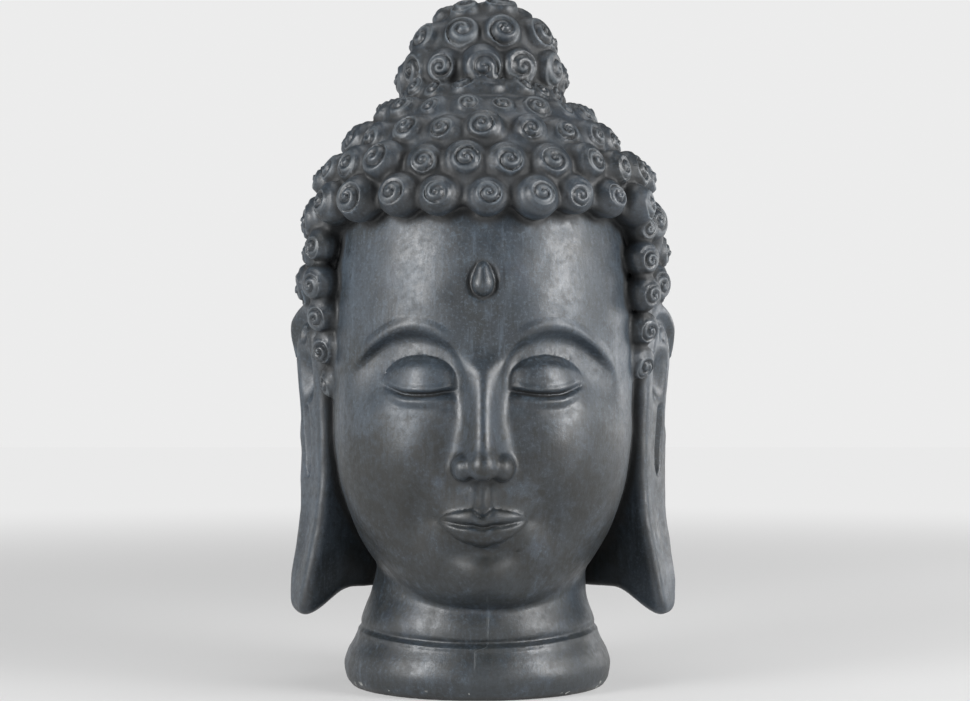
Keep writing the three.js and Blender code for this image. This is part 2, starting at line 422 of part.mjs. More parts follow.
// thin the mesh by collapsing the edges that matter least to the form
function thin({ pos, tris }, target, care) {
  const nv = pos.length / 3, nt = tris.length / 3;
  const Q = new Float64Array(nv * 10), fan = Array.from({ length: nv }, () => []);
  const dead = new Uint8Array(nt), gone = new Uint8Array(nv), stamp = new Int32Array(nv);
  const normal = (a, b, c, P) => {
    const ux = P[3 * b] - P[3 * a], uy = P[3 * b + 1] - P[3 * a + 1], uz = P[3 * b + 2] - P[3 * a + 2];
    const vx = P[3 * c] - P[3 * a], vy = P[3 * c + 1] - P[3 * a + 1], vz = P[3 * c + 2] - P[3 * a + 2];
    return [uy * vz - uz * vy, uz * vx - ux * vz, ux * vy - uy * vx];
  };
  for (let t = 0; t < nt; t++) {
    const a = tris[3 * t], b = tris[3 * t + 1], c = tris[3 * t + 2];
    const m = normal(a, b, c, pos), L = hypot(...m) || 1e-12;
    const [x, y, z] = m.map((v) => v / L), w = -(x * pos[3 * a] + y * pos[3 * a + 1] + z * pos[3 * a + 2]);
    const k = (L / 2) * care(pos[3 * a], pos[3 * a + 1], pos[3 * a + 2]);
    const q = [x * x, x * y, x * z, x * w, y * y, y * z, y * w, z * z, z * w, w * w];
    for (const v of [a, b, c]) { fan[v].push(t); for (let i = 0; i < 10; i++) Q[10 * v + i] += q[i] * k; }
  }
  const cost = (q, x, y, z) => q[0] * x * x + 2 * q[1] * x * y + 2 * q[2] * x * z + 2 * q[3] * x + q[4] * y * y + 2 * q[5] * y * z + 2 * q[6] * y + q[7] * z * z + 2 * q[8] * z + q[9];
  const best = (u, v) => {
    const q = new Array(10);
    for (let i = 0; i < 10; i++) q[i] = Q[10 * u + i] + Q[10 * v + i];
    const P = [0, 1, 2].map((k) => (pos[3 * u + k] + pos[3 * v + k]) / 2);
    const len = hypot(...[0, 1, 2].map((k) => pos[3 * u + k] - pos[3 * v + k]));
    const det = q[0] * (q[4] * q[7] - q[5] * q[5]) - q[1] * (q[1] * q[7] - q[5] * q[2]) + q[2] * (q[1] * q[5] - q[4] * q[2]);
    let p = P;
    const tr = q[0] + q[4] + q[7];
    if (abs(det) > 1e-5 * tr * tr * tr) {
      const r = [-q[3], -q[6], -q[8]];
      const x = (r[0] * (q[4] * q[7] - q[5] * q[5]) - q[1] * (r[1] * q[7] - q[5] * r[2]) + q[2] * (r[1] * q[5] - q[4] * r[2])) / det;
      const y = (q[0] * (r[1] * q[7] - q[5] * r[2]) - r[0] * (q[1] * q[7] - q[5] * q[2]) + q[2] * (q[1] * r[2] - r[1] * q[2])) / det;
      const z = (q[0] * (q[4] * r[2] - r[1] * q[5]) - q[1] * (q[1] * r[2] - r[1] * q[2]) + r[0] * (q[1] * q[5] - q[4] * q[2])) / det;
      if (hypot(x - P[0], y - P[1], z - P[2]) < len) p = [x, y, z];
    }
    return [max(cost(q, ...p), 0) + 1e-4 * len * len * len, p];
  };
  // heap of edges
  const heap = [];
  const up = (i) => { const e = heap[i]; while (i > 0) { const p = (i - 1) >> 1; if (heap[p][0] <= e[0]) break; heap[i] = heap[p]; i = p; } heap[i] = e; };
  const down = (i) => {
    const e = heap[i], n = heap.length;
    for (;;) { let c = 2 * i + 1; if (c >= n) break; if (c + 1 < n && heap[c + 1][0] < heap[c][0]) c++; if (heap[c][0] >= e[0]) break; heap[i] = heap[c]; i = c; }
    heap[i] = e;
  };
  const push = (u, v) => { const [c, p] = best(u, v); heap.push([c, u, v, stamp[u], stamp[v], p]); up(heap.length - 1); };
  const pop = () => { const e = heap[0], l = heap.pop(); if (heap.length) { heap[0] = l; down(0); } return e; };
  for (let t = 0; t < nt; t++) for (let k = 0; k < 3; k++) { const a = tris[3 * t + k], b = tris[3 * t + ((k + 1) % 3)]; if (a < b) push(a, b); }
  const ring = (v) => { const s = new Set(); for (const t of fan[v]) for (let k = 0; k < 3; k++) if (tris[3 * t + k] !== v) s.add(tris[3 * t + k]); return s; };
  let left = nt;
  while (left > target && heap.length) {
    const [, u, v, su, sv, p] = pop();
    if (gone[u] || gone[v] || stamp[u] !== su || stamp[v] !== sv) continue;
    const ru = ring(u), rv = ring(v);
    let common = 0;
    for (const x of ru) if (rv.has(x)) common++;
    if (common !== 2) continue;
    let ok = true;
    const keep = [];
    for (const w of [u, v]) for (const t of fan[w]) {
      const T = [tris[3 * t], tris[3 * t + 1], tris[3 * t + 2]];
      if (T.includes(u) && T.includes(v)) continue;
      const m0 = normal(...T, pos), P = T.map((q) => (q === w ? p : [pos[3 * q], pos[3 * q + 1], pos[3 * q + 2]]));
      const m1 = normal(0, 1, 2, P.flat());
      const L0 = hypot(...m0), L1 = hypot(...m1);
      const l2 = max(hypot(P[0][0] - P[1][0], P[0][1] - P[1][1], P[0][2] - P[1][2]), hypot(P[1][0] - P[2][0], P[1][1] - P[2][1], P[1][2] - P[2][2]), hypot(P[0][0] - P[2][0], P[0][1] - P[2][1], P[0][2] - P[2][2]));
      if (m0[0] * m1[0] + m0[1] * m1[1] + m0[2] * m1[2] < 0.25 * L0 * L1 || L1 < 0.06 * l2 * l2) { ok = false; break; }
      keep.push(t);
    }
    if (!ok) continue;
    for (const t of fan[v]) {
      const T = [tris[3 * t], tris[3 * t + 1], tris[3 * t + 2]];
      if (T.includes(u)) { dead[t] = 1; left--; for (const q of T) if (q !== v) fan[q] = fan[q].filter((s) => s !== t); } else {
        for (let k = 0; k < 3; k++) if (tris[3 * t + k] === v) tris[3 * t + k] = u;
        fan[u].push(t);
      }
    }
    gone[v] = 1;
    for (let k = 0; k < 3; k++) pos[3 * u + k] = p[k];
    for (let i = 0; i < 10; i++) Q[10 * u + i] += Q[10 * v + i];
    stamp[u]++;
    for (const w of ring(u)) push(min(u, w), max(u, w));
  }
  const map = new Int32Array(nv).fill(-1), P = [], T = [];
  for (let t = 0; t < nt; t++) {
    if (dead[t]) continue;
    for (let k = 0; k < 3; k++) {
      const v = tris[3 * t + k];
      if (map[v] < 0) { map[v] = P.length / 3; P.push(pos[3 * v], pos[3 * v + 1], pos[3 * v + 2]); }
      T.push(map[v]);
    }
  }
  return { pos: P, tris: T };
}

// ---------------------------------------------------------------- build
const wasm = await Module();
wasm.setup();
const solid = (pos, tris) => new wasm.Manifold(new wasm.Mesh({ numProp: 3, vertProperties: Float32Array.from(pos), triVerts: Uint32Array.from(tris) }));

const field = sample();
settle(field);
seal(field);
settle(field);
const fine = surface(field);
// the features of the face and the ears keep more facets than the hair and the foot
const care = (x, y, z) => (y < -60 && z < 292 && z > 84 && abs(x) < 84 ? 14 : y < -60 && z < 340 && abs(x) < 14 ? 8 : abs(x) > 118 && z < 312 ? 3 : 1);
const coarse = thin(fine, FACETS, care);

// flat underside
const room = new THREE.BoxGeometry(500, 500, 700).translate(0, 0, 350);
const boxTris = [];
const boxPos = [];
{
  const seen = new Map(), p = room.attributes.position, ix = room.index;
  for (let i = 0; i < ix.count; i++) {
    const v = ix.getX(i), key = [p.getX(v), p.getY(v), p.getZ(v)].join();
    if (!seen.has(key)) { seen.set(key, boxPos.length / 3); boxPos.push(p.getX(v), p.getY(v), p.getZ(v)); }
    boxTris.push(seen.get(key));
  }
}
const cut = solid(coarse.pos, coarse.tris).intersect(solid(boxPos, boxTris)).getMesh();
const geometry = new THREE.BufferGeometry();
geometry.setAttribute("position", new THREE.BufferAttribute(Float32Array.from(cut.vertProperties), 3));
geometry.setIndex(new THREE.BufferAttribute(Uint32Array.from(cut.triVerts), 1));
geometry.computeVertexNormals();

const stone = new THREE.MeshStandardMaterial({ name: "painted cast stone", color: 0x54595d, roughness: 0.5, metalness: 0 });
const head = new THREE.Mesh(geometry, stone);
head.name = "head";

const statue = new THREE.Group();
statue.add(head);
export default statue;
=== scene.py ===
import bpy, math, time
import numpy as np
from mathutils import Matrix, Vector


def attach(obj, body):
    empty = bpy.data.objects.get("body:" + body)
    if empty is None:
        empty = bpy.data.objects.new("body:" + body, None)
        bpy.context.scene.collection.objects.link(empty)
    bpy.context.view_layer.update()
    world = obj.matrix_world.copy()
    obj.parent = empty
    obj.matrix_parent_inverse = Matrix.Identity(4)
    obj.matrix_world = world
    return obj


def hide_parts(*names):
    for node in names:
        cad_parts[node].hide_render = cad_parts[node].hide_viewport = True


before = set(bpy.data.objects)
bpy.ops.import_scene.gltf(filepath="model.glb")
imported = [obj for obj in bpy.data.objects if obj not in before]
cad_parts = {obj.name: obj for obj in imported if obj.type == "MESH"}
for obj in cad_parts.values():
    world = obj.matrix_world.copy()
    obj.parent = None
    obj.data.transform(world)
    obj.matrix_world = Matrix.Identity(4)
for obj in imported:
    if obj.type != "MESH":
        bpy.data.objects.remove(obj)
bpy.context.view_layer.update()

T0 = time.perf_counter()
F = np.float32

# ======================================================================
# The head as one field, in millimetres: +Z up, the face looks along -Y.
# The sizes are those of the solid it replaces.
# ======================================================================
SK_C, SK_R = (0., 12., 330.), (125., 131., 140.)
EG_C, EG_R = (0., -8., 214.), (119., 113., 158.)
NECK_Y, AXIS_Y = 8., 12.
US_C, US_R = (0., 22., 490.), (57., 57., 55.)
HAIR_T = 12.0
Z_MOUTH, EYE_X = 135., 47.5


def sstep(a, b, x):
    t = np.clip((x - a) / (b - a), 0, 1)
    return t * t * (3 - 2 * t)


def smin(a, b, k):
    h = np.maximum(k - np.abs(a - b), 0) / k
    return np.minimum(a, b) - h * h * k * 0.25


def smax(a, b, k):
    h = np.maximum(k - np.abs(a - b), 0) / k
    return np.maximum(a, b) + h * h * k * 0.25


def bump(u):
    t = np.clip(1 - u * u, 0, 1)
    return t * t


def gau(u):
    return np.exp(-u * u)


def ell(x, y, z, c, r):
    px, py, pz = (x - c[0]) / r[0], (y - c[1]) / r[1], (z - c[2]) / r[2]
    k0 = np.sqrt(px * px + py * py + pz * pz)
    qx, qy, qz = px / r[0], py / r[1], pz / r[2]
    return k0 * (k0 - 1) / np.maximum(np.sqrt(qx * qx + qy * qy + qz * qz), 1e-6)


def sell(x, y, z, c, r, n):
    px, py, pz = np.abs(x - c[0]) / r[0], np.abs(y - c[1]) / r[1], np.abs(z - c[2]) / r[2]
    s = px ** n + py ** n + pz ** n + 1e-9
    g = np.sqrt((px ** (n - 1) / r[0]) ** 2 + (py ** (n - 1) / r[1]) ** 2 + (pz ** (n - 1) / r[2]) ** 2) * s ** (1. / n - 1)
    return (s ** (1. / n) - 1) / np.maximum(g, 1e-6)


def curve(x, xs, ys):
    xs = np.asarray(xs, float); ys = np.asarray(ys, float)
    n = len(xs); d = np.diff(ys) / np.diff(xs); m = np.zeros(n)
    m[0], m[-1] = d[0], d[-1]
    for i in range(1, n - 1):
        m[i] = 0 if d[i - 1] * d[i] <= 0 else 2 * d[i - 1] * d[i] / (d[i - 1] + d[i])
    xc = np.clip(x, xs[0], xs[-1])
    i = np.clip(np.searchsorted(xs, xc) - 1, 0, n - 2)
    h = (xs[1:] - xs[:-1])[i]; t = (xc - xs[i]) / h
    t2, t3 = t * t, t * t * t
    return ((2 * t3 - 3 * t2 + 1) * ys[i] + (t3 - 2 * t2 + t) * h * m[i] + (-2 * t3 + 3 * t2) * ys[i + 1] + (t3 - t2) * h * m[i + 1]).astype(F)


# ---------------------------------------------------------------- face
def mask(x, y, z):
    f = smin(sell(x, y, z, SK_C, (122., 129., 138.), 2.08), sell(x, y, z, EG_C, EG_R, 2.15), 36.)
    return smin(f, ell(x, y, z, (0, -54., 106.), (56., 50., 44.)), 30.)


def brow_line(X):
    return 281. - 0.0125 * (X - 54.) ** 2 - 0.055 * np.maximum(26. - X, 0) ** 2


def relief(x, z):
    """the features' height over the mask, in the face's front view"""
    X = np.abs(x)
    D = 5.0 * bump((X - 58) / 46.) * bump((z - 190) / 56.)
    D = D + 7.0 * bump(X / 32.) * bump((z - 93) / 26.)
    D = D + 9.0 * bump(X / 56.) * bump((z - 142) / 44.)
    D = D + 3.0 * bump(X / 90.) * bump((z - 318) / 60.)
    D = D - 3.0 * gau((X - 46) / 10.) * gau((z - 140) / 24.)
    # brow and socket
    zb = brow_line(X)
    below = zb - z
    D = D - 12.5 * sstep(-1.5, 10.0, below) * (1 - sstep(16, 56, below)) * sstep(4, 30, X) * (1 - sstep(70, 108, X))
    D = D + 2.4 * bump((below + 3.5) / 8.0) * sstep(14, 34, X) * (1 - sstep(84, 106, X))
    D = D + 2.2 * bump((z - zb - 16) / 30.) * bump((X - 44) / 52.)
    # closed eye
    ex, ez = (X - EYE_X) / 28.5, (z - 243.) / 19.
    D = smax(D, -10.5 + 14.0 * np.sqrt(np.maximum(1 - ex * ex - ez * ez, 0)) - 1.5 * np.maximum(X - EYE_X, 0) / 28., 4.5)
    t = (X - EYE_X) / 29.
    slit = 237.5 - 5.0 * (1 - t * t) + 2.8 * sstep(0.35, 1.0, t) - 1.6 * sstep(-0.55, -1.0, t)
    on = np.clip(1 - np.abs(t) ** 6, 0, 1)
    d = z - slit
    D = D + on * (2.5 * gau((d - 3.4) / 2.6) - 3.9 * gau((d + 0.2) / 1.7) + 2.4 * gau((d + 5.6) / 3.4) - 0.9 * gau((d + 12.) / 4.0))
    D = D - 1.6 * gau((t + 1.04) / 0.10) * gau(d / 2.6)
    D = D - 1.5 * gau((z - (258.5 - 9.0 * t * t)) / 1.9) * (1 - sstep(0.62, 0.95, np.abs(t)))
    # nose: a rounded ridge that runs up into the brows
    s = np.clip((262. - z) / (262. - 180.), 0, 1)
    wn = curve(z, [166, 180, 200, 228, 244, 256, 272], [20.5, 19.8, 17.2, 15.4, 16.2, 20.5, 34.])
    D = smax(D, (17.5 + 23.5 * s ** 1.12) * np.exp(-np.power(X / wn, 2.2)) * (1 - sstep(248, 276, z)) * sstep(166., 178., z) - 12., 12.)
    # lips
    w = np.clip(1 - (X / 34.) ** 2, 0, 1)
    zm = Z_MOUTH - 1.8 * bump(X / 9.) + 3.2 * sstep(12, 35, X)
    zu = zm + 13.0 * w ** 0.8 - 3.4 * bump(X / 8.) * w
    zl = zm - 15.5 * w ** 0.75
    du = np.clip((z - zm) / np.maximum(zu - zm, 0.6), 0, 1.02)
    dl = np.clip((zm - z) / np.maximum(zm - zl, 0.6), 0, 1)
    hu = np.sqrt(np.clip(1 - ((du - 0.30) / 0.72) ** 2, 0, 1))
    hl = np.sqrt(np.clip(1 - (1.5 * dl - 0.5) ** 2, 0, 1))
    D = D + np.where(z >= zm, 6.6 * hu, 6.93 * hl * (1 - 0.14 * gau(X / 5.) * sstep(0, .4, dl))) * w ** .6
    D = D + 0.6 * gau((z - zu - 0.9) / 1.6) * w
    D = D - 3.8 * gau((z - zm) / 2.2) * np.clip(1 - (X / 37.) ** 4, 0, 1)
    D = D - 2.0 * gau((X - 36.5) / 5.6) * gau((z - zm) / 6.5)
    D = D - 4.2 * bump(X / 38.) * gau((z - 112.5) / 7.0)
    lip = sstep(147, 152, z) * (1 - sstep(160, 168, z))
    return D + lip * (0.8 * gau((X - 6.4) / 2.5) - 1.4 * gau(X / 3.6))


# ---------------------------------------------------------------- neck and foot
NZ = [-6, 0, 6, 16, 26, 36, 44, 54, 64, 74, 90, 140, 230]
NR = [96.5, 101.4, 105.6, 107.2, 104.8, 99.6, 96.2, 92.8, 89.2, 86.6, 84.5, 83., 78.]


def neck(x, y, z):
    dx, dy = x + 4.4 * (1 - sstep(60, 112, z)), y - NECK_Y
    r = np.sqrt(dx * dx + dy * dy) + 1e-6
    fr = -dy / r
    side = 1 - fr * fr
    zc = 41.0 + 5.0 * side
    cr = 0.35 + 0.65 * (1 - side)
    R = curve(z, NZ, NR) + cr * (1.5 * gau((z - zc + 2.2) / 1.5) - 2.8 * gau((z - zc - 1.6) / 2.1) + 2.2 * bump((z - 58) / 15.))
    return smax((r - R) * 0.97, z - 190., 40.)


# ---------------------------------------------------------------- ears
EZ = [50, 62, 80, 105, 140, 178, 220, 260, 290, 312]
EAR = dict(
    ax=[145, 144, 141, 136, 130, 128, 129, 130, 132, 134], ay=[-24, -24, -23, -20, -16, -14, -14, -14, -12, -8],
    bx=[157, 158, 159, 156, 152.5, 153.5, 157, 161, 162.5, 156], by=[14, 16, 20, 24, 30, 34, 37, 38, 36, 30],
    dx=[70, 70, 70, 76, 86, 98, 104, 104, 100, 100], dy=[44, 44, 44, 38, 28, 18, 10, 4, -6, -8],
    ex=[70, 70, 70, 76, 90, 104, 110, 112, 112, 110], ey=[64, 64, 66, 64, 62, 60, 60, 60, 60, 60])


def ear_cut(u, z, W):
    s = u / W
    q = np.sqrt(((u - 0.48 * W) / (0.5 * W)) ** 2 + (np.maximum(z - 262, 0) / 45.) ** 2)
    e = np.where(z > 262, (1 - q) * 0.5 * W, np.minimum(W - u, u + 6))
    rear = np.where(z > 262, 1.0, sstep(0.35, 0.6, s))
    groove = 4.5 * gau((e - 9.5) / 3.6) * sstep(196, 226, z) * np.maximum(rear, sstep(262, 275, z))
    conch = 9.0 * bump((u - 0.46 * W) / 13.) * bump((z - 246) / 27.)
    fossa = 4.0 * bump((u - 0.50 * W) / 8.) * bump((z - 282) / 12.)
    wv = np.clip((z - 163.) / 12., 0, 1)
    slit = 7.0 * bump((u - 0.56 * W) / (1.0 + 6.0 * wv)) * sstep(163, 172, z) * (1 - sstep(214, 228, z))
    return np.maximum(np.maximum(groove, conch), np.maximum(slit, fossa)) + 2.0 * bump((u - 0.5 * W) / 16.) * bump((z - 120) / 50.)


def ear(x, y, z):
    X = np.abs(x)
    c = {k: curve(z, EZ, v) for k, v in EAR.items()}

    def line(px, py, qx, qy):
        tx, ty = qx - px, qy - py
        L = np.sqrt(tx * tx + ty * ty); tx, ty = tx / L, ty / L
        return (X - px) * ty - (y - py) * tx, (X - px) * tx + (y - py) * ty, L
    fo, u, W = line(c["ax"], c["ay"], c["bx"], c["by"])
    f = smax(fo + ear_cut(u, z, W), line(c["dx"], c["dy"], c["ax"], c["ay"])[0], 11.)
    f = smax(f, line(c["bx"], c["by"], c["ex"], c["ey"])[0] + 5.0 * bump((z - 230) / 90.), 9.)
    top = 309. - 30. * np.clip(np.abs(u / W - 0.45) / 0.62, 0, 1.5) ** 2.2
    f = smax(f, (z - top) * 0.85, 9.)
    bot = 55. + 20. * (1 - sstep(106, 144, X)) + 30. * sstep(42, 84, y) + 9. * np.clip(np.abs(y + 3) / 22., 0, 1.3) ** 3 * sstep(112, 142, X)
    return smax(f, (bot - z) * 0.9, 9.)


# ---------------------------------------------------------------- hair
def hair_shell(x, y, z):
    s = sell(x, y, z, SK_C, SK_R, 2.1) - HAIR_T
    s = smin(s, sell(x, y, z, (0, 30., 225.), (112., 98., 128.), 2.2), 50.)
    return smin(s, sell(x, y, z, US_C, US_R, 2.2), 8.)


def hair_bound(x, y, z):
    phi = np.arctan2(np.abs(x), AXIS_Y - y)
    return (curve(phi, [0, 0.85, 1.12, 1.28, 1.38, 1.95, 2.08, 3.2], [375, 373, 362, 300, 250, 240, 149, 143]) - z) * 0.6


def front_y(z, featured):
    lo, hi = -260., 0.
    for _ in range(40):
        m = (lo + hi) / 2
        a = np.array([0.], F), np.array([m], F), np.array([z], F)
        v = mask(*a)[0] - (relief(a[0], a[2])[0] if featured else 0)
        lo, hi = (m, hi) if v > 0 else (lo, m)
    return (lo + hi) / 2


Y_TIP, Y_MARK = front_y(182., True), front_y(318., False)


def bare(x, y, z, has_face=True, has_ear=True):
    X = np.abs(x)
    f = mask(x, y, z)
    if has_face:
        fw = np.clip((20 - y) / 40., 0, 1)
        f = f - relief(x, z) * fw * fw * (3 - 2 * fw)
        tip = ell(x, y, z, (0, Y_TIP + 9.5, 180.), (11.0, 13.5, 11.5))
        ala = ell(X, y, z, (14.6, Y_TIP + 21.5, 178.), (9.0, 15.5, 10.4))
        f = smin(f, smin(tip, ala, 6.), 5.)
        f = smax(f, -ell(X, y, z, (8.6, Y_TIP + 13.5, 168.6), (3.7, 5.6, 3.2)), 2.)
        drop = smin(ell(x, y, z, (0, Y_MARK - 2., 315.5), (8.6, 8.6, 9.6)), ell(x, y, z, (0, Y_MARK - .5, 325.5), (5.4, 7.0, 6.8)), 5.)
        f = smin(f + 2.2 * gau((np.sqrt(X * X + (z - 318.) ** 2 * .6) - 9.5) / 2.4) * (y < 0), drop, 1.0)
    f = smin(f, neck(x, y, z), 5.)
    return smin(f, ear(x, y, z), 4.) if has_ear else f


# ---------------------------------------------------------------- curls
def rnd(i, k):
    v = math.sin(i * 12.9898 + k * 78.233 + 1.7) * 43758.5453
    return v - math.floor(v)


def one(f, *p):
    return float(f(*[np.array([q], F) for q in p])[0])


def curl_list():
    C = []

    def put(phi, z, size, cy=AXIS_Y, out=0.):
        sx, sy = math.sin(phi), -math.cos(phi)
        lo, hi = 0., 200.
        for _ in range(22):
            m = (lo + hi) / 2
            if one(hair_shell, sx * m, cy + sy * m, z) < 0: lo = m
            else: hi = m
        C.append((np.array([sx * (lo + out), cy + sy * (lo + out), z]), size))
    D = math.pi / 180
    for z0, n, ph, out, size in ((472., 16, .25, 0., .88), (453.5, 19, .5, -6., .9), (433., 21, 0., -4., .97), (408., 24, .5, 2.5, 1.), (383., 24, 0., 2.5, 1.)):
        for i in range(n):
            deg = (i + ph) / n * 360 + 1.5
            a = abs((deg + 180) % 360 - 180)
            dz = 12. * float(sstep(48, 82, a)) if z0 < 400 else (4. * float(sstep(55, 90, a)) if z0 < 420 else 0.)
            put(deg * D, z0 - dz, size, out=out * float(sstep(30, 60, a)) if out > 0 else out)
    z, k = 347., 1
    while z > 132:
        for i in range(24):
            deg = (i + (.5 if k % 2 else 0.)) / 24 * 360 + 1.5
            a = abs((deg + 180) % 360 - 180)
            if a < 76 or (z < 312 and a < 112): continue
            put(deg * D, z, 1.0 if z > 140 else 0.)
        z -= 26.5; k += 1
    for z1, lock in ((348., (-68., -69., -69.5, -71., -77.)), (338., (65.5, 68.5, 71., 75.))):
        for j, deg in enumerate(lock): put(deg * D, z1 - 26.5 * j, 0.86 if j < 4 else 0.8)
    put(67. * D, 362., 0.8)
    for z, n, ph, out in ((493., 12, .0, 0.), (519., 10, .45, -3.5)):
        for i in range(n): put((i + ph) / n * 2 * math.pi, z, 0.97, US_C[1], out)
    tops = [(27 * math.sin((i + .5) / 6 * 2 * math.pi), US_C[1] - 27 * math.cos((i + .5) / 6 * 2 * math.pi), 0.88) for i in range(6)] + [(3., US_C[1], 0.84)]
    for x, y, size in tops:
        lo, hi = 480., 600.
        for _ in range(22):
            m = (lo + hi) / 2
            if one(hair_shell, x, y, m) < 0: lo = m
            else: hi = m
        C.append((np.array([x, y, lo]), size))
    res = []
    for i, (p, s) in enumerate(C):
        if s == 0: continue
        g = []
        for ax in range(3):
            a, b = p.copy(), p.copy(); a[ax] += 1.5; b[ax] -= 1.5
            g.append(one(hair_shell, *a) - one(hair_shell, *b))
        nrm = np.array(g); nrm /= np.linalg.norm(nrm)
        if p[1] < -18 and abs(p[0]) > 100 and p[2] < 372: nrm = nrm + np.array([0, -0.75, 0])
        if p[2] < 535: nrm = nrm + np.array([0, 0, -0.30 if 420 < p[2] < 480 else -0.10])
        nrm = nrm + (np.array([rnd(i, 0), rnd(i, 1), rnd(i, 2)]) - .5) * 0.30
        nrm /= np.linalg.norm(nrm)
        s = s * (1 + 0.22 * (rnd(i, 3) - .5))
        p = p + (np.array([rnd(i, 4), rnd(i, 5), rnd(i, 6)]) - .5) * 4.4
        up = np.array([0, 0, 1.0]) if abs(nrm[2]) < .9 else np.array([0, -1.0, 0])
        t = np.cross(up, nrm); t /= np.linalg.norm(t)
        disc = (9.2 + 1.8 * rnd(i, 8)) * (1.22 if p[2] > 484 else 1.0)
        res.append(dict(p=p, n=nrm, t=t, b=np.cross(nrm, t), s=s, turn=rnd(i, 7) * 2 * math.pi, disc=disc, low=1.0 + 1.6 * rnd(i, 9), cut=0.75 + 0.5 * rnd(i, 10), hand=1. if rnd(i, 11) > .4 else -1.))
    return res


TURNS = 1.85


def curl_local(c, dx, dy, dz):
    q = [(dx * F(c[k][0]) + dy * F(c[k][1]) + dz * F(c[k][2])) / F(c["s"]) for k in ("t", "b", "n")]
    q[0] = q[0] * F(c["hand"])
    return q


def curl_sdf(c, dx, dy, dz):
    a, v, h = curl_local(c, dx, dy, dz)
    rho = np.sqrt(a * a + v * v)
    f = (np.power((rho / 16.6) ** 2.2 + (np.abs(h + 2.0) / 15.2) ** 2.2, 1 / 2.2) - 1) * 15.0
    v2 = v + c["low"]
    rr = np.sqrt(a * a + v2 * v2) / c["disc"]
    # a flattened end with a thin rim, and the snail rising inside it
    f = smax(f, (h + 0.10 * v - 12.0) * 0.98, 4.0)
    f = f - 0.9 * gau((rr - 1.0) / 0.11) + 0.7 * gau((rr - 1.26) / 0.14)
    f = f - 2.2 * np.clip(1 - rr * rr, 0, 1) - 0.7 * gau(rr / 0.17)
    s = TURNS * np.power(np.clip(rr, 0.02, 2), 0.8) - (np.arctan2(v2, a) + c["turn"]) / (2 * math.pi)
    ridge = np.power(np.clip(np.sin(math.pi * (s - np.floor(s))), 0, 1), 0.8)
    fade = (1 - sstep(0.92, 1.02, rr)) * sstep(0.08, 0.22, rr)
    f = f + c["cut"] * 2.1 * fade * (1 - ridge)
    return f * c["s"]


# ---------------------------------------------------------------- sampling
LO = np.array([-168., -184., -5.]); HI = np.array([168., 180., 572.])


def uneven(x, y, z):
    """slow hand-worked unevenness of the surface, about +-1"""
    return (np.sin(x * .11 + 1.3 * np.sin(z * .053 + .4)) * np.sin(z * .087 + 1.1 * np.sin(y * .061)) + 0.6 * np.sin(y * .13 + x * .071 + 2.) * np.sin(z * .16 - x * .045)
            + 0.35 * np.sin(x * .31 + z * .12) * np.sin(z * .29 - y * .21 + 1.)) / 1.5


def sample(h):
    B = 8
    n = np.ceil((HI - LO) / h).astype(int) + 1
    nb = np.ceil(n / B).astype(int); n = nb * B
    ax = [(LO[i] + h * np.arange(n[i])).astype(F) for i in range(3)]
    S = np.empty(n, F)
    cx = [a.reshape(-1, B).mean(1).astype(F) for a in ax]
    gx, gy, gz = np.meshgrid(*cx, indexing="ij")
    fc = np.minimum(bare(gx, gy, gz), smax(hair_shell(gx, gy, gz), hair_bound(gx, gy, gz), 5.))
    near = np.abs(fc) < h * B * 0.866 * 1.35 + 6.
    Sb = S.reshape(nb[0], B, nb[1], B, nb[2], B)
    Sb[:] = np.where(fc > 0, F(20), F(-20))[:, None, :, None, :, None]
    off = (np.arange(B) * h).astype(F)
    edge = h * B
    kind = ((gy < 20 + edge) & (gz < 400)).astype(int) + 2 * ((gz < 330) & (np.abs(gx) > 60)).astype(int) + 4 * (gz > 100).astype(int)
    for kk in range(8):
        idx = np.argwhere(near & (kind == kk))
        for s in range(0, len(idx), 1200):
            I = idx[s:s + 1200]
            x = (ax[0][I[:, 0] * B][:, None, None, None] + off[None, :, None, None])
            y = (ax[1][I[:, 1] * B][:, None, None, None] + off[None, None, :, None])
            z = (ax[2][I[:, 2] * B][:, None, None, None] + off[None, None, None, :])
            x, y, z = [np.ascontiguousarray(q).astype(F) for q in np.broadcast_arrays(x, y, z)]
            f = bare(x, y, z, bool(kk & 1), bool(kk & 2))
            if kk & 4: f = smin(f, smax(hair_shell(x, y, z), hair_bound(x, y, z), 5.), 3.)
            f = f - 0.35 * uneven(x, y, z)
            for j, (a, b, c) in enumerate(I): Sb[a, :, b, :, c, :] = f[j]
    CL = curl_list()
    for c in CL:
        p, rad = c["p"], 21. * c["s"]
        i0 = np.maximum(((p - rad - LO) / h).astype(int), 0); i1 = np.minimum(((p + rad - LO) / h).astype(int) + 2, n)
        sl = tuple(slice(i0[k], i1[k]) for k in range(3))
        dx = (ax[0][sl[0]] - F(p[0]))[:, None, None]; dy = (ax[1][sl[1]] - F(p[1]))[None, :, None]; dz = (ax[2][sl[2]] - F(p[2]))[None, None, :]
        dx, dy, dz = np.broadcast_arrays(dx, dy, dz)
        S[sl] = smin(S[sl], curl_sdf(c, dx, dy, dz).astype(F), F(4.6))
    S[:] = np.maximum(S, (0.0 - ax[2])[None, None, :])
    return S, ax, CL


